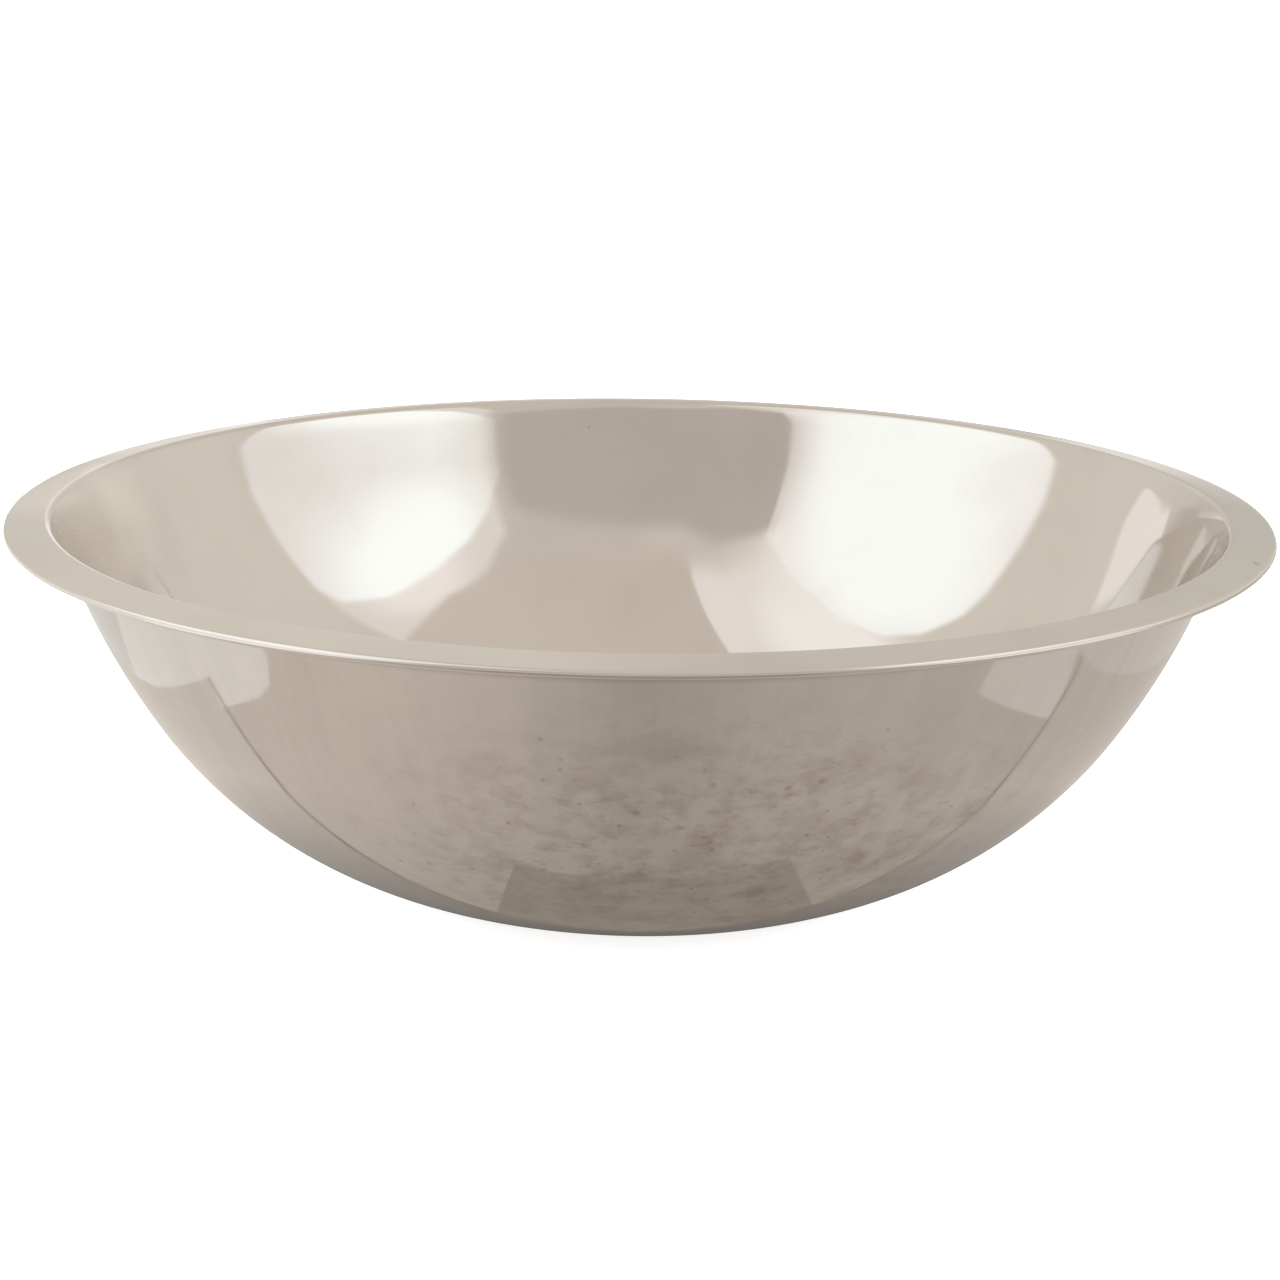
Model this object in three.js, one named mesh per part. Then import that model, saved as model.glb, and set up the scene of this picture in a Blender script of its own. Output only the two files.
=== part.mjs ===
// A stainless steel mixing bowl, pressed and spun from one round blank of sheet.
// Millimetres, +Z up, origin at the centre of the base on the plane that the bowl stands on.
//
// The sheet is followed from the middle of the base outwards, the way the metal runs: the flat base, a
// soft knuckle, a lower and an upper wall arc, a short straight wall that eases outwards at its top, the
// tight lip, the drooping flange and the edge curled down and under it. The same sheet makes all of it, so
// the bowl is one piece.
import * as THREE from "three";

const degrees = THREE.MathUtils.degToRad;

// Driving dimensions
const RIM_DIAMETER = 450; // over the curled edge
const HEIGHT = 134; // from the table to the top of the lip
const SHEET = 0.6; // thickness of the metal
const BASE_DIAMETER = 160; // of the flat face, out to where the knuckle starts

// Wall, as angles above the horizontal and radii at the middle of the sheet
const KNUCKLE_RADIUS = 12; // between the flat base and the wall
const WALL_FOOT = degrees(13.5);
const WALL_MIDDLE = degrees(56);
const WALL_TOP = degrees(68);
const LOWER_RADIUS = 154.5;
const UPPER_RADIUS = 251;

// Rim
const EASE_TURN = degrees(7); // outwards, just below the lip
const EASE_RADIUS = 50;
const LIP_SLOPE = WALL_TOP - EASE_TURN; // of the wall where the lip starts
const LIP_RADIUS = 2.5;
const FLANGE_DROOP = degrees(8);
const CURL_DIAMETER = 2.8; // over the sheet
const CURL_TURN = degrees(250);

// Facets
const FACETS_ROUND = 72;

// Walks along the middle of the sheet, from the axis outwards, and keeps both faces of the sheet.
class SheetPath {
  constructor() {
    this.r = 0;
    this.z = SHEET / 2;
    this.slope = 0; // direction of travel above the horizontal
    this.upper = [];
    this.lower = [];
    this.mark();
  }

  mark() {
    const offset = SHEET / 2;
    const across = offset * Math.sin(this.slope);
    const up = offset * Math.cos(this.slope);
    this.upper.push(new THREE.Vector2(Math.max(0, this.r - across), this.z + up));
    this.lower.push(new THREE.Vector2(this.r + across, this.z - up));
  }

  line(length) {
    this.r += length * Math.cos(this.slope);
    this.z += length * Math.sin(this.slope);
    this.mark();
  }

  // Bends by an angle, upwards where it is positive, along an arc of the given radius.
  bend(angle, radius, steps) {
    const turn = Math.sign(angle) * radius;
    const centreR = this.r - turn * Math.sin(this.slope);
    const centreZ = this.z + turn * Math.cos(this.slope);
    const start = this.slope;
    for (let i = 1; i <= steps; i++) {
      this.slope = start + (angle * i) / steps;
      this.r = centreR + turn * Math.sin(this.slope);
      this.z = centreZ - turn * Math.cos(this.slope);
      this.mark();
    }
  }

  // One outline round the section: out along the upper face, back along the lower one.
  outline() {
    return [...this.upper, ...this.lower.reverse()];
  }
}

function addWall(path) {
  path.bend(WALL_FOOT, KNUCKLE_RADIUS, 2);
  path.bend(WALL_MIDDLE - WALL_FOOT, LOWER_RADIUS, 8);
  path.bend(WALL_TOP - WALL_MIDDLE, UPPER_RADIUS, 3);
  const easeRise = EASE_RADIUS * (Math.cos(LIP_SLOPE) - Math.cos(WALL_TOP));
  const lipRise = LIP_RADIUS * (1 - Math.cos(LIP_SLOPE));
  const straightTop = HEIGHT - SHEET / 2 - lipRise - easeRise;
  path.line((straightTop - path.z) / Math.sin(WALL_TOP));
  path.bend(-EASE_TURN, EASE_RADIUS, 2);
}

function addRim(path) {
  const curlRadius = (CURL_DIAMETER - SHEET) / 2;
  path.bend(-(LIP_SLOPE + FLANGE_DROOP), LIP_RADIUS, 5);
  const curlCentre = RIM_DIAMETER / 2 - CURL_DIAMETER / 2;
  const flangeEnd = curlCentre + curlRadius * Math.sin(FLANGE_DROOP);
  path.line((flangeEnd - path.r) / Math.cos(FLANGE_DROOP));
  path.bend(-CURL_TURN, curlRadius, 8);
}

function bowlGeometry() {
  const path = new SheetPath();
  path.line(BASE_DIAMETER / 2);
  addWall(path);
  addRim(path);
  return new THREE.LatheGeometry(path.outline().reverse(), FACETS_ROUND);
}

const steel = new THREE.MeshStandardMaterial({
  color: 0xc4bbb0,
  roughness: 0.14,
  metalness: 1,
});

const bowl = new THREE.Mesh(bowlGeometry(), steel);
bowl.name = "bowl";
bowl.rotation.x = Math.PI / 2; // the lathe turns about +Y, and the bowl stands on +Z

const mixingBowl = new THREE.Group();
mixingBowl.add(bowl);

export default mixingBowl;
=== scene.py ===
"""A stainless steel mixing bowl on a pale floor, in soft studio light.

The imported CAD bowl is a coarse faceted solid. This script spins the same section again with fine steps,
gives the sheet the slight waviness of spun metal, and makes its two finishes: a bright polish inside and
on the flange, and a duller, stained and spotted polish outside. All lengths are metres.
"""
import math

import bpy
import numpy as np
from mathutils import Matrix, Vector, noise


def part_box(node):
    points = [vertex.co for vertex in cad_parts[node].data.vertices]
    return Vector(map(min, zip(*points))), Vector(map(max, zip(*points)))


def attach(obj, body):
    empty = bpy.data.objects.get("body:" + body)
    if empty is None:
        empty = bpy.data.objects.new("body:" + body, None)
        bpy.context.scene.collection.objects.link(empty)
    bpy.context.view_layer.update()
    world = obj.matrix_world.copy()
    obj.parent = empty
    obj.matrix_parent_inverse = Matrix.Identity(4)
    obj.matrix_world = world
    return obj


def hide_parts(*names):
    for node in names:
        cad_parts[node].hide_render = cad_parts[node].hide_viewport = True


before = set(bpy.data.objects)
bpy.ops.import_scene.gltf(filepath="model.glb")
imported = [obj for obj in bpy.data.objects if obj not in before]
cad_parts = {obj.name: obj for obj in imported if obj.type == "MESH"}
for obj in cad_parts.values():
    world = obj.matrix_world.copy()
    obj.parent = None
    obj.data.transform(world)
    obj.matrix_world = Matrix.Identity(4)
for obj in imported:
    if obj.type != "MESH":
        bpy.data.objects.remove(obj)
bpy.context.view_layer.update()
bowl_low, bowl_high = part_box("bowl")

# The bowl. Its outer sizes are the CAD node's; the section repeats the CAD section's dimensions.
RIM_RADIUS = bowl_high[0]
HEIGHT = bowl_high[2] - bowl_low[2]
SHEET = 0.0006
BASE_RADIUS = 0.080
KNUCKLE_RADIUS = 0.012
WALL_FOOT = math.radians(13.5)
WALL_MIDDLE = math.radians(56)
WALL_TOP = math.radians(68)
LOWER_RADIUS = 0.1545
UPPER_RADIUS = 0.251
EASE_TURN = math.radians(7)
EASE_RADIUS = 0.050
LIP_RADIUS = 0.0025
FLANGE_DROOP = math.radians(8)
CURL_DIAMETER = 0.0028
CURL_TURN = math.radians(250)
STEPS_ROUND = 288

# Waviness of the spun sheet: the height and length of its broad swells and of its small dimples
SWELL_HEIGHT = 0.00005
SWELL_LENGTH = 0.055
DIMPLE_HEIGHT = 0.000007
DIMPLE_LENGTH = 0.014

# Colours of the metal, clean, filmed over and stained, where the stain colour also gives the painted shade
# under the curled edge; and the middles of its stained side, of the painted light on one side of its wall
# and of the nick in its flange
STEEL = (0.66, 0.63, 0.59)
DULL = (0.38, 0.33, 0.29)
STAIN_AND_PAINTED_SHADE = (0.30, 0.24, 0.19)
STAINED_AT = (0.025, -0.17, 0.052)
PAINTED_LIGHT_AT = (-0.20, 0.01, 0.117)
NICK_AT = (0.2072, -0.0771, 0.1327)

# The camera: how far it looks down and leans, its place in rim radii, and its lens in millimetres
CAMERA_PITCH = math.radians(14.59)
CAMERA_ROLL = math.radians(0.737)
CAMERA_PLACE = (0.002, -4.894, 1.644)
CAMERA_LENS = 87.98

# The steel mirrors itself many times over where the wall meets the lip at both sides
MIRROR_BOUNCES = 24

# Size of the cells of the glowing panels
CARD_CELL = 0.025
FINE_CELL = 0.005

# The flat sheets that the steel mirrors lie in thin layers below the floor, and the floor is this wide
# on each side
TABLE_DEPTH = 0.0012
LAYER_STEP = 0.0001
FAR = 8.0


def smoothstep(low, high, x):
    t = np.clip((x - low) / (high - low), 0.0, 1.0)
    return t * t * (3.0 - 2.0 * t)


# ---------------------------------------------------------------------------------------------------
# Camera


def add_camera():
    """The viewing angle of a product shot: a little above the rim, with a long lens."""
    forward = Vector((0, math.cos(CAMERA_PITCH), -math.sin(CAMERA_PITCH)))
    level_up = Vector((0, math.sin(CAMERA_PITCH), math.cos(CAMERA_PITCH)))
    across = Vector((1, 0, 0))
    right = across * math.cos(CAMERA_ROLL) + level_up * math.sin(CAMERA_ROLL)
    up = level_up * math.cos(CAMERA_ROLL) - across * math.sin(CAMERA_ROLL)
    place = Vector(CAMERA_PLACE) * RIM_RADIUS
    lens = bpy.data.cameras.new("camera")
    lens.sensor_width = 36
    lens.lens = CAMERA_LENS
    lens.clip_start = 0.01
    camera = bpy.data.objects.new("camera", lens)
    rows = [(right[i], up[i], -forward[i], place[i]) for i in range(3)]
    camera.matrix_world = Matrix(rows + [(0, 0, 0, 1)])
    bpy.context.scene.collection.objects.link(camera)
    bpy.context.scene.camera = camera


# ---------------------------------------------------------------------------------------------------
# The bowl's mesh


class SheetPath:
    """Walks along the middle of the sheet from the axis outwards, keeping radius, height and slope."""

    def __init__(self):
        self.r, self.z, self.slope, self.run = 0.0, SHEET / 2, 0.0, 0.0
        self.marks = [(self.r, self.z, self.slope, self.run)]

    def mark(self):
        self.marks.append((self.r, self.z, self.slope, self.run))

    def line(self, length, steps):
        for _ in range(steps):
            self.r += length / steps * math.cos(self.slope)
            self.z += length / steps * math.sin(self.slope)
            self.run += length / steps
            self.mark()

    def bend(self, angle, radius, steps):
        turn = math.copysign(radius, angle)
        centre_r = self.r - turn * math.sin(self.slope)
        centre_z = self.z + turn * math.cos(self.slope)
        start = self.slope
        for i in range(1, steps + 1):
            self.slope = start + angle * i / steps
            self.r = centre_r + turn * math.sin(self.slope)
            self.z = centre_z - turn * math.cos(self.slope)
            self.run += abs(angle) / steps * radius
            self.mark()


def bowl_section():
    """The marks along the sheet, and the runs at which the straight wall ends and the curl starts."""
    path = SheetPath()
    path.line(BASE_RADIUS, 12)
    path.bend(WALL_FOOT, KNUCKLE_RADIUS, 8)
    path.bend(WALL_MIDDLE - WALL_FOOT, LOWER_RADIUS, 60)
    path.bend(WALL_TOP - WALL_MIDDLE, UPPER_RADIUS, 26)
    lip_slope = WALL_TOP - EASE_TURN
    ease_rise = EASE_RADIUS * (math.cos(lip_slope) - math.cos(WALL_TOP))
    lip_rise = LIP_RADIUS * (1 - math.cos(lip_slope))
    wall_top = HEIGHT - SHEET / 2 - lip_rise - ease_rise
    path.line((wall_top - path.z) / math.sin(WALL_TOP), 10)
    wall_end = path.run
    path.bend(-EASE_TURN, EASE_RADIUS, 4)
    path.bend(-(lip_slope + FLANGE_DROOP), LIP_RADIUS, 16)
    curl_radius = (CURL_DIAMETER - SHEET) / 2
    curl_centre = RIM_RADIUS - CURL_DIAMETER / 2
    flange_end = curl_centre + curl_radius * math.sin(FLANGE_DROOP)
    path.line((flange_end - path.r) / math.cos(FLANGE_DROOP), 6)
    curl_start = path.run
    path.bend(-CURL_TURN, curl_radius, 22)
    return path.marks, wall_end, curl_start


def sheet_wave(cos_a, sin_a, r, z):
    """How far the sheet stands off its true section. The flat base stays flat and the rim nearly true."""
    point = Vector((r * cos_a, r * sin_a, z))
    wave = SWELL_HEIGHT * noise.noise(point / SWELL_LENGTH)
    wave += DIMPLE_HEIGHT * noise.noise(point / DIMPLE_LENGTH)
    off_base = smoothstep(BASE_RADIUS, BASE_RADIUS + 0.03, r)
    below_rim = 1.0 - 0.7 * smoothstep(HEIGHT - 0.02, HEIGHT, z)
    return float(off_base * below_rim) * wave


def make_bowl():
    marks, wall_end, curl_start = bowl_section()
    loop = [(m, 1.0) for m in marks] + [(m, -1.0) for m in reversed(marks)]
    angles = [2 * math.pi * j / STEPS_ROUND for j in range(STEPS_ROUND)]
    points, coords, sides = [], [], []

    def add(r, z, cos_a, sin_a, run, side):
        points.append((r * cos_a, r * sin_a, z))
        coords.append((cos_a, sin_a, run))
        sides.append(side)

    for a in angles:
        cos_a, sin_a = math.cos(a), math.sin(a)
        for (r, z, slope, run), face in loop[1:-1]:
            wave = sheet_wave(cos_a, sin_a, r, z)
            reach = wave + face * SHEET / 2
            add(r - reach * math.sin(slope), z + reach * math.cos(slope), cos_a, sin_a, run, face)
    top_centre = len(points)
    add(0.0, SHEET, 1.0, 0.0, 0.0, 1.0)
    add(0.0, 0.0, 1.0, 0.0, 0.0, -1.0)
    row = len(loop) - 2
    faces = []
    for j in range(STEPS_ROUND):
        a, b = j * row, (j + 1) % STEPS_ROUND * row
        faces.append((top_centre, a, b))
        faces.append((top_centre + 1, b + row - 1, a + row - 1))
        faces.extend((a + i, a + i + 1, b + i + 1, b + i) for i in range(row - 1))
    mesh = bpy.data.meshes.new("bowl_sheet")
    mesh.from_pydata(points, [], faces)
    mesh.attributes.new("run", "FLOAT_VECTOR", "POINT").data.foreach_set("vector", np.ravel(coords))
    mesh.materials.append(inside_steel(curl_start))
    mesh.materials.append(outside_steel(wall_end))
    for polygon in mesh.polygons:
        polygon.use_smooth = True
        polygon.material_index = 1 if sum(sides[v] for v in polygon.vertices) < 0 else 0
    mesh.validate()
    bowl = bpy.data.objects.new("bowl_sheet", mesh)
    bpy.context.scene.collection.objects.link(bowl)
    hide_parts("bowl")
    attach(bowl, "root")


# ---------------------------------------------------------------------------------------------------
# Steel


class Nodes:
    """A short way to write a node tree: each call adds a node and returns its output socket."""

    def __init__(self, tree):
        self.tree = tree
        tree.nodes.clear()

    def add(self, kind, inputs=(), output=0, **settings):
        node = self.tree.nodes.new(kind)
        for name, value in settings.items():
            setattr(node, name, value)
        for key, value in dict(inputs).items():
            if isinstance(value, bpy.types.NodeSocket):
                self.tree.links.new(value, node.inputs[key])
            else:
                node.inputs[key].default_value = value
        return node.outputs[output]

    def surface(self, shader):
        output = self.tree.nodes.new("ShaderNodeOutputMaterial")
        self.tree.links.new(shader, output.inputs[0])

    def math(self, operation, a, b=0.0, c=0.0, clamp=False):
        return self.add("ShaderNodeMath", {0: a, 1: b, 2: c}, operation=operation, use_clamp=clamp)

    def scaled(self, vector, scale):
        return self.add("ShaderNodeVectorMath", {0: vector, 1: scale}, operation="MULTIPLY")

    def noise(self, vector, detail=2.0, roughness=0.5, distortion=0.0):
        inputs = {"Vector": vector, "Scale": 1.0, "Detail": detail}
        inputs.update({"Roughness": roughness, "Distortion": distortion})
        return self.add("ShaderNodeTexNoise", inputs)

    def remap(self, value, low, high, to_low=0.0, to_high=1.0):
        inputs = {"Value": value, "From Min": low, "From Max": high}
        inputs.update({"To Min": to_low, "To Max": to_high})
        return self.add("ShaderNodeMapRange", inputs, interpolation_type="SMOOTHSTEP")

    def part(self, vector, index):
        return self.add("ShaderNodeSeparateXYZ", {0: vector}, output=index)

    def near(self, place, centre, radii, low, high):
        """One close to the centre, fading to zero between low and high, in units of the radii."""
        offset = self.add("ShaderNodeVectorMath", {0: place, 1: centre}, operation="SUBTRACT")
        offset = self.scaled(offset, tuple(1.0 / radius for radius in radii))
        length = self.add("ShaderNodeVectorMath", {0: offset}, output=1, operation="LENGTH")
        return self.remap(length, low, high, 1.0, 0.0)

    def blend(self, factor, a, b):
        inputs = {0: factor, 6: a, 7: b}
        return self.add("ShaderNodeMix", inputs, output=2, data_type="RGBA")


def colour(rgb, gain=1.0):
    return (rgb[0] * gain, rgb[1] * gain, rgb[2] * gain, 1.0)


def new_steel(name):
    material = bpy.data.materials.new(name)
    material.use_nodes = True
    nodes = Nodes(material.node_tree)
    around = nodes.add("ShaderNodeAttribute", output=1, attribute_name="run")
    place = nodes.add("ShaderNodeTexCoord", output=3)
    return material, nodes, around, place


def finish_steel(nodes, base, roughness, bump_height, bump_distance):
    bump = {"Height": bump_height, "Distance": bump_distance, "Strength": 1.0}
    normal = nodes.add("ShaderNodeBump", bump)
    inputs = {"Base Color": base, "Metallic": 1.0, "Roughness": roughness, "Normal": normal}
    shader = nodes.add("ShaderNodeBsdfPrincipled", inputs)
    nodes.surface(shader)


def spots(nodes, place, per_metre, size, share):
    """Small dark spots, at most one to a cell, in the given share of the cells."""
    cells = nodes.scaled(place, (per_metre, per_metre, per_metre))
    centre = nodes.add("ShaderNodeTexVoronoi", {"Vector": cells, "Scale": 1.0}, output=0)
    draw = nodes.add("ShaderNodeSeparateColor", {0: centre.node.outputs[1]})
    chosen = nodes.math("LESS_THAN", draw, share)
    return nodes.math("MULTIPLY", nodes.remap(centre, size, 0.1 * size), chosen)


def inside_steel(curl_start):
    """Bright polish, with very fine rings from the spinning lathe and a faint film in places. The curled
    edge is duller. One side of the wall has a patch of painted light, lighter and duller too. That patch
    isn't a mark on the metal: it is there because the mirrored room alone leaves the wall too dark."""
    material, nodes, around, place = new_steel("polished_steel")
    rings = nodes.noise(nodes.scaled(around, (1.5, 1.5, 1400.0)), detail=3.0)
    broad_rings = nodes.noise(nodes.scaled(around, (0.8, 0.8, 160.0)), detail=2.0)
    film = nodes.remap(nodes.noise(nodes.scaled(place, (22.0, 22.0, 22.0)), detail=5.0), 0.45, 0.75)
    speck = nodes.math("MULTIPLY", spots(nodes, place, 40.0, 0.035, 0.12), 0.5)
    nick = nodes.math("MULTIPLY", nodes.near(place, NICK_AT, (0.0014, 0.0032, 0.002), 0.3, 1.1), 0.65)
    dull = nodes.math("MULTIPLY_ADD", film, 0.12, nodes.math("ADD", speck, nick), clamp=True)
    rolled = nodes.remap(nodes.part(around, 2), curl_start - 0.0004, curl_start + 0.0006)
    # painted light: a lighter, duller patch on one side of the wall, standing in for light that the
    # mirrored room leaves out
    painted_light = nodes.near(place, PAINTED_LIGHT_AT, (0.05, 0.075, 0.04), 0.5, 1.0)
    polish = nodes.blend(painted_light, colour(STEEL), colour(STEEL, 1.22))
    base = nodes.blend(dull, polish, colour(DULL))
    rough = nodes.math("MULTIPLY_ADD", film, 0.03, nodes.remap(broad_rings, 0.3, 0.7, 0.035, 0.055))
    rough = nodes.math("MULTIPLY_ADD", rolled, 0.13, rough)
    rough = nodes.math("MULTIPLY_ADD", painted_light, 0.20, rough)
    finish_steel(nodes, base, rough, rings, 0.0000006)
    return material


def outside_steel(wall_end):
    """The same polish with hazy bands down the wall, brownish stains and small dark spots. Just under the
    curled edge the wall is darkened with painted shade, in the colour of the stains. It stands in for shade
    that the mirrored room leaves out."""
    material, nodes, around, place = new_steel("handled_steel")
    rings = nodes.noise(nodes.scaled(around, (1.5, 1.5, 1100.0)), detail=3.0)
    bands = nodes.noise(nodes.scaled(around, (17.0, 17.0, 11.0)), detail=2.0, distortion=0.6)
    wipes = nodes.noise(nodes.scaled(around, (90.0, 90.0, 9.0)), detail=3.0, roughness=0.6)
    haze = nodes.math("ADD", nodes.remap(bands, 0.3, 0.7, 0.0, 0.7), nodes.remap(wipes, 0.3, 0.7, 0.0, 0.3))
    # stains gather low on one side
    stained = nodes.near(place, STAINED_AT, (0.11, 0.14, 0.06), 0.35, 1.3)
    blotches = nodes.noise(nodes.scaled(place, (45.0, 45.0, 70.0)), detail=3.0, distortion=0.3)
    mottles = nodes.noise(nodes.scaled(place, (120.0, 120.0, 170.0)), detail=4.0, roughness=0.6)
    smears = nodes.noise(nodes.scaled(around, (26.0, 26.0, 260.0)), detail=4.0, distortion=0.8)
    blotch = nodes.remap(blotches, 0.42, 0.72, 0.0, 0.5)
    mottle = nodes.remap(mottles, 0.42, 0.68, 0.0, 0.5)
    strength = nodes.math("MULTIPLY_ADD", stained, 0.52, 0.05)
    film = nodes.math("MULTIPLY", nodes.math("ADD", blotch, mottle), strength)
    smear = nodes.math("MULTIPLY", nodes.remap(smears, 0.56, 0.70, 0.0, 0.22), stained)
    dots = spots(nodes, place, 170.0, 0.20, nodes.math("MULTIPLY_ADD", stained, 0.30, 0.01))
    spot = spots(nodes, place, 90.0, 0.19, nodes.math("MULTIPLY_ADD", stained, 0.22, 0.01))
    dotted = nodes.math("MULTIPLY", nodes.math("MAXIMUM", dots, spot), 0.42)
    # painted shade: the wall darkens over its last few millimetres under the curled edge, in the stain
    # colour; the marks below join it to the stains and spots
    painted_shade_under_curl = nodes.remap(nodes.part(around, 2), wall_end - 0.0048, wall_end - 0.0016, 0.0, 0.42)
    marks = nodes.math("ADD", nodes.math("ADD", film, smear), nodes.math("ADD", dotted, painted_shade_under_curl), clamp=True)
    clean = nodes.blend(haze, colour(STEEL, 0.94), colour(STEEL, 1.0))
    base = nodes.blend(marks, clean, colour(STAIN_AND_PAINTED_SHADE))
    rough = nodes.math("MULTIPLY_ADD", marks, 0.3, nodes.remap(haze, 0.0, 1.0, 0.05, 0.09))
    finish_steel(nodes, base, rough, rings, 0.000001)
    return material


# ---------------------------------------------------------------------------------------------------
# Floor, light and the room that the steel mirrors


def polygon_distance(points, u, v):
    """Distance from each (u, v) to a polygon's outline, negative inside."""
    nearest = np.full(u.shape, np.inf)
    inside = np.zeros(u.shape, bool)
    for (u0, v0), (u1, v1) in zip(points, points[1:] + points[:1]):
        du, dv = u1 - u0, v1 - v0
        t = np.clip(((u - u0) * du + (v - v0) * dv) / (du * du + dv * dv), 0, 1)
        nearest = np.minimum(nearest, np.hypot(u - u0 - t * du, v - v0 - t * dv))
        if dv != 0:
            crossing = (v0 > v) != (v1 > v)
            inside ^= crossing & (u < u0 + (v - v0) * du / dv)
    return np.where(inside, -nearest, nearest)


def glow_material(name, edge, core):
    material = bpy.data.materials.new(name)
    material.use_nodes = True
    nodes = Nodes(material.node_tree)
    cover = nodes.add("ShaderNodeAttribute", output=2, attribute_name="cover")
    heart = nodes.add("ShaderNodeAttribute", output=2, attribute_name="heart")
    light = nodes.add("ShaderNodeEmission", {0: nodes.blend(heart, colour(edge), colour(core)), 1: 1.0})
    clear = nodes.add("ShaderNodeBsdfTransparent")
    nodes.surface(nodes.add("ShaderNodeMixShader", {0: cover, 1: clear, 2: light}))
    return material


def only_in_reflections(obj):
    obj.visible_camera = False
    obj.visible_diffuse = False
    obj.visible_shadow = False


def glow_card(name, to_place, outline, soft, edge, core, heart_at=(0.0, 0.0), heart_size=(1.0, 1.0),
              fade=None):
    """A panel of light or tone, seen only in the steel. Its border is soft by so many metres on each side,
    its colour goes from edge to core towards its heart, and it fades out from one u to the other."""
    us = [p[0] for p in outline]
    vs = [p[1] for p in outline]
    low_u, high_u, low_v, high_v = min(us) - soft, max(us) + soft, min(vs) - soft, max(vs) + soft
    cell = CARD_CELL if high_u - low_u > 0.5 else FINE_CELL
    columns = int((high_u - low_u) / cell) + 2
    rows = int((high_v - low_v) / cell) + 2
    u, v = np.meshgrid(np.linspace(low_u, high_u, columns), np.linspace(low_v, high_v, rows))
    distance = polygon_distance(list(outline), u, v)
    points = [to_place(a, b) for a, b in zip(u.ravel(), v.ravel())]
    faces = [(r * columns + c, r * columns + c + 1, (r + 1) * columns + c + 1, (r + 1) * columns + c)
             for r in range(rows - 1) for c in range(columns - 1)]
    mesh = bpy.data.meshes.new(name)
    mesh.from_pydata(points, [], faces)
    cover = 1.0 - smoothstep(-soft, soft, distance)
    if fade:
        cover *= 1.0 - smoothstep(fade[0], fade[1], u)
    off_heart = ((u - heart_at[0]) / heart_size[0]) ** 2 + ((v - heart_at[1]) / heart_size[1]) ** 2
    heart = 1.0 - smoothstep(0.4, 1.2, np.sqrt(off_heart))
    mesh.attributes.new("cover", "FLOAT", "POINT").data.foreach_set("value", cover.ravel())
    mesh.attributes.new("heart", "FLOAT", "POINT").data.foreach_set("value", heart.ravel())
    mesh.materials.append(glow_material(name, edge, core))
    card = bpy.data.objects.new(name, mesh)
    bpy.context.scene.collection.objects.link(card)
    only_in_reflections(card)


def upright(bearing, distance=1.5):
    """A vertical plane round the bowl: bearing 0 is behind the camera, and it grows towards the right."""
    angle = math.radians(bearing)
    facing = Vector((math.sin(angle), -math.cos(angle), 0))
    sideways = Vector((math.cos(angle), math.sin(angle), 0))
    return lambda u, v: tuple(facing * distance + sideways * float(u) + Vector((0, 0, float(v))))


def add_room_cards():
    glow_card("softbox_left", upright(-80),
              [(-0.76, 0.3), (-0.76, 1.15), (-0.62, 1.70), (-0.40, 1.98), (0.05, 2.16), (0.6, 2.14),
               (0.9, 2.2), (2.05, 2.2), (2.05, 0.3)],
              0.04, (1.30, 1.28, 1.29), (1.44, 1.52, 1.53), (0.2, 1.35), (1.1, 0.9), fade=(0.80, 1.95))
    glow_card("softbox_right", upright(66),
              [(-0.80, 0.3), (-0.84, 1.35), (-0.62, 1.55), (-0.40, 1.65), (0.0, 1.69), (0.50, 1.68),
               (0.90, 1.55), (1.05, 1.4), (1.10, 1.1), (1.14, 0.3)],
              0.03, (1.15, 1.13, 1.12), (1.48, 1.55, 1.57), (-0.05, 1.62), (1.2, 0.72), fade=(-0.25, -1.10))
    glow_card("ceiling_left", upright(-80, 1.6),
              [(-1.4, 2.0), (-1.4, 9.0), (3.15, 9.0), (3.25, 5.8), (3.4, 5.0), (2.1, 3.5), (1.6, 2.65),
               (1.5, 2.0)],
              0.34, (1.13, 1.09, 1.05), (1.29, 1.26, 1.24), (0.0, 2.6), (1.3, 1.6))
    glow_card("wall_right", upright(66, 1.6),
              [(-0.80, 0.5), (-0.78, 1.9), (-0.45, 2.1), (0.05, 2.12), (0.5, 2.33), (1.0, 2.6),
               (1.12, 0.5)],
              0.07, (1.06, 1.02, 0.97), (1.23, 1.19, 1.17), (0.25, 1.8), (0.6, 0.5))
    glow_card("dark_behind_camera", upright(0, 1.62),
              [(-1.6, 0.3), (-1.55, 2.15), (-0.70, 2.15), (-0.35, 1.90), (1.15, 1.86), (1.25, 0.3)],
              0.12, (0.67, 0.61, 0.57), (0.67, 0.61, 0.57))
    glow_card("board_back", upright(-130, 0.5),
              [(-0.140, 0.172), (-0.148, 0.233), (-0.185, 0.252), (-0.202, 0.242), (-0.226, 0.226),
               (-0.255, 0.210), (-0.290, 0.199), (-0.302, 0.172)],
              0.004, (1.14, 1.09, 1.05), (1.14, 1.09, 1.05))
    glow_card("dark_back", upright(-150, 1.6),
              [(0.25, 0.1), (0.20, 0.28), (-0.30, 0.28), (-0.30, 0.1)],
              0.04, (0.66, 0.60, 0.55), (0.66, 0.60, 0.55))


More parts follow.
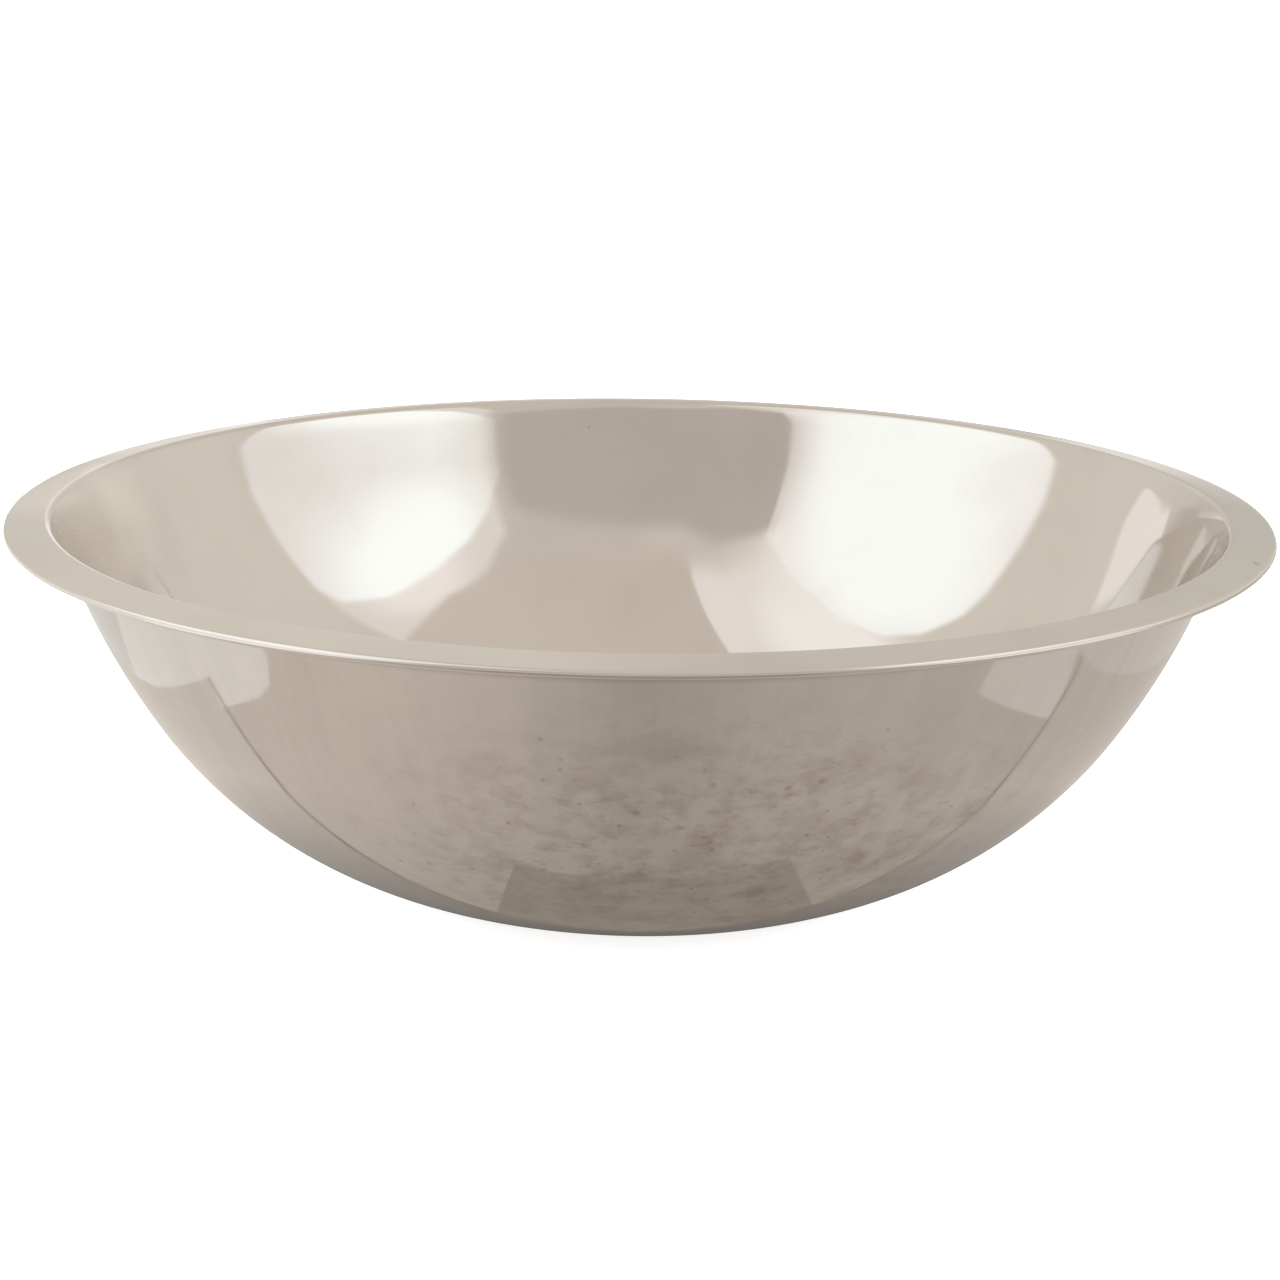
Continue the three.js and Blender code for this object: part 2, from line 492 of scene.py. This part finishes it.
def flat_sheet(name, outline, layer, left, right=None, shade=0.5, falloff=0.5):
    """A flat glowing sheet just below the floor, seen only in the steel, whose glow stands in for the lit
    table. Its tone runs from left to right, and painted shade darkens it down to the given share where it
    meets the bowl, over a distance that the falloff bends."""
    height = LAYER_STEP * layer - TABLE_DEPTH
    mesh = bpy.data.meshes.new(name)
    mesh.from_pydata([(x, y, height) for x, y in outline], [], [range(len(outline))])
    material = bpy.data.materials.new(name)
    material.use_nodes = True
    nodes = Nodes(material.node_tree)
    place = nodes.add("ShaderNodeTexCoord", output=3)
    reach = nodes.add("ShaderNodeVectorMath", {0: place}, output=1, operation="LENGTH")
    # painted shade: the glow darkens towards the bowl's base
    open_sky = nodes.math("DIVIDE", nodes.math("SUBTRACT", reach, BASE_RADIUS), 0.11, clamp=True)
    lit = nodes.math("MULTIPLY_ADD", nodes.math("POWER", open_sky, falloff), 1.0 - shade, shade)
    tone = nodes.blend(nodes.remap(nodes.part(place, 0), -0.20, 0.20), colour(left), colour(right or left))
    tint = nodes.blend(lit, (0.0, 0.0, 0.0, 1.0), tone)
    nodes.surface(nodes.add("ShaderNodeEmission", {0: tint, 1: 1.0}))
    mesh.materials.append(material)
    sheet = bpy.data.objects.new(name, mesh)
    bpy.context.scene.collection.objects.link(sheet)
    only_in_reflections(sheet)


def rectangle(low_x, low_y, high_x, high_y):
    return [(low_x, low_y), (high_x, low_y), (high_x, high_y), (low_x, high_y)]


def table_edge(x):
    """The far edge of the near sheet bows a little towards the camera."""
    return -0.1 + 0.28 * x * x


def add_near_sheets():
    """The table in front of the bowl, with the shadow and the crease across it."""
    flat_sheet("table", rectangle(-FAR, -FAR, FAR, FAR), 0, (0.56, 0.50, 0.45))
    flat_sheet("table_front_left", rectangle(-0.26, -0.30, 0, -0.08), 1,
               (0.75, 0.68, 0.61), (0.26, 0.225, 0.195))
    flat_sheet("table_front_right", rectangle(0, -0.30, 0.30, -0.07), 1,
               (0.385, 0.34, 0.30), (0.625, 0.565, 0.51))
    flat_sheet("table_below_camera", [(-0.12, -0.31), (0.14, -0.31), (0.5, -1.2), (-0.45, -1.2)], 2,
               (0.42, 0.375, 0.335))
    flat_sheet("shadow", rectangle(-0.05, -0.15, 0.065, -0.10), 5, (0.45, 0.40, 0.35))
    columns = [-0.26 + 0.545 * i / 24 for i in range(25)]
    near = [(x, table_edge(x) - 0.0012) for x in columns]
    far = [(x, table_edge(x) + 0.0012) for x in reversed(columns)]
    flat_sheet("crease", near + far, 6, (0.40, 0.34, 0.29))
    edge = [(x, table_edge(x)) for x in columns]
    flat_sheet("table_back", edge + [(0.285, FAR), (-0.80, FAR), (-0.27, 0.15)], 2,
               (0.77, 0.71, 0.65), (0.65, 0.595, 0.545), shade=0.16, falloff=1.0)


def add_left_sheets():
    flat_sheet("panel_left",
               [(-FAR, -0.155), (-0.24, -0.155), (-0.229, -0.146), (-0.225, -0.13), (-0.232, -0.08),
                (-0.26, -0.08), (-0.26, 0.03), (-0.27, 0.15), (-0.80, FAR), (-FAR, FAR)],
               3, (0.96, 0.92, 0.885))
    flat_sheet("panel_back_left",
               [(-FAR, 0.085), (-0.262, 0.085), (-0.27, 0.15), (-0.80, FAR), (-FAR, FAR)],
               4, (0.80, 0.765, 0.735))
    flat_sheet("panel_far_left",
               [(-FAR, -FAR), (-0.40, -0.50), (-0.27, -0.21), (-0.32, -0.12), (-0.42, -0.08), (-0.90, FAR),
                (-FAR, FAR)],
               5, (1.10, 1.07, 1.05))
    flat_sheet("panel_near_left",
               [(-FAR, -FAR), (-0.40, -0.50), (-0.27, -0.21), (-0.32, -0.12), (-FAR, -0.12)],
               6, (1.32, 1.28, 1.27))


def add_right_sheets():
    flat_sheet("panel_right", rectangle(0.285, -0.17, FAR, FAR), 3, (0.71, 0.66, 0.62))
    flat_sheet("lobe_right", [(0.215, -0.17), (0.285, -0.17), (0.285, -0.085), (0.23, -0.085)],
               4, (0.78, 0.72, 0.68))
    flat_sheet("panel_near_right",
               [(0.36, -0.20), (0.45, -0.46), (FAR, -FAR), (FAR, -0.60), (0.66, -0.06), (0.42, -0.11)],
               5, (1.25, 1.21, 1.19))
    flat_sheet("panel_far_right", [(0.50, 0.04), (FAR, 0.10), (FAR, FAR), (0.50, FAR)],
               5, (0.62, 0.59, 0.56))


def add_floor():
    """The pale floor that the camera sees. The steel mirrors the table sheets just below it."""
    mesh = bpy.data.meshes.new("floor")
    mesh.from_pydata([(x, y, 0) for x, y in rectangle(-FAR, -FAR, FAR, FAR)], [], [(0, 1, 2, 3)])
    material = bpy.data.materials.new("floor")
    material.use_nodes = True
    shader = material.node_tree.nodes["Principled BSDF"]
    shader.inputs["Base Color"].default_value = (0.9, 0.9, 0.9, 1.0)
    shader.inputs["Roughness"].default_value = 0.9
    shader.inputs["Specular IOR Level"].default_value = 0.0
    shader.inputs["Emission Color"].default_value = (1.0, 1.0, 1.0, 1.0)
    shader.inputs["Emission Strength"].default_value = 0.8
    mesh.materials.append(material)
    floor = bpy.data.objects.new("floor", mesh)
    floor.location.z = -0.0002
    floor.visible_glossy = False
    floor.visible_shadow = False
    bpy.context.scene.collection.objects.link(floor)


def room_tone(direction):
    """Brightness of the room by direction: pale at both sides and along the horizon, duller at the back,
    most of all on the right, and under the ceiling."""
    x, y, z = direction
    back = 0.67 + 0.21 * smoothstep(-0.05, 0.50, z) - 0.11 * smoothstep(-0.08, 0.04, x)
    back += 0.20 * (1 - smoothstep(0.05, 0.11, z))
    back += 0.12 * smoothstep(0.12, 0.19, x) * (1 - smoothstep(0.08, 0.18, z))
    side = smoothstep(0.25, 0.85, abs(x))
    wall = back + (0.91 - back) * side
    ceiling = smoothstep(0.68, 0.84, z)
    warmth = np.array((1.0, 0.945, 0.862)) * (1 - ceiling) + np.array((1.0, 0.905, 0.815)) * ceiling
    return (wall + (0.81 + 0.06 * x - wall) * ceiling) * warmth


def add_room():
    """A dome round the scene, seen only in the steel, from a little below the floor up to the top. The
    camera sees a plain white background."""
    columns, rows, radius = 96, 32, 6.0
    foot = -6.0
    points = []
    for i in range(rows + 1):
        rise = math.radians(foot + (90.0 - foot) * i / rows)
        level = math.cos(rise)
        for j in range(columns):
            around = 2 * math.pi * j / columns
            points.append((level * math.cos(around), level * math.sin(around), math.sin(rise)))
    tones = [tuple(room_tone(point)) + (1.0,) for point in points]
    faces = [(i * columns + j, i * columns + (j + 1) % columns, (i + 1) * columns + (j + 1) % columns,
              (i + 1) * columns + j) for i in range(rows) for j in range(columns)]
    mesh = bpy.data.meshes.new("room")
    mesh.from_pydata([tuple(radius * c for c in point) for point in points], [], faces)
    mesh.attributes.new("tone", "FLOAT_COLOR", "POINT").data.foreach_set("color", np.ravel(tones))
    material = bpy.data.materials.new("room")
    material.use_nodes = True
    nodes = Nodes(material.node_tree)
    tone = nodes.add("ShaderNodeAttribute", output=0, attribute_name="tone")
    nodes.surface(nodes.add("ShaderNodeEmission", {0: tone, 1: 1.0}))
    mesh.materials.append(material)
    room = bpy.data.objects.new("room", mesh)
    bpy.context.scene.collection.objects.link(room)
    only_in_reflections(room)
    world = bpy.data.worlds.new("background")
    bpy.context.scene.world = world
    world.use_nodes = True
    world.node_tree.nodes["Background"].inputs["Color"].default_value = (1.0, 1.0, 1.0, 1.0)


def add_lamp(name, place, size, power):
    data = bpy.data.lights.new(name, "AREA")
    data.shape = "RECTANGLE"
    data.size, data.size_y = size
    data.energy = power
    lamp = bpy.data.objects.new(name, data)
    lamp.location = place
    lamp.rotation_euler = Vector(place).to_track_quat("Z", "Y").to_euler()
    lamp.visible_camera = False
    lamp.visible_glossy = False
    bpy.context.scene.collection.objects.link(lamp)


add_camera()
make_bowl()
add_floor()
add_near_sheets()
add_left_sheets()
add_right_sheets()
add_room_cards()
add_room()
add_lamp("lamp_left", (-1.6, -0.6, 1.4), (1.6, 1.4), 40)
add_lamp("lamp_right", (1.4, -0.8, 1.3), (1.2, 1.2), 30)
bpy.context.scene.view_settings.view_transform = "Standard"
bpy.context.scene.cycles.max_bounces = MIRROR_BOUNCES
bpy.context.scene.cycles.glossy_bounces = MIRROR_BOUNCES
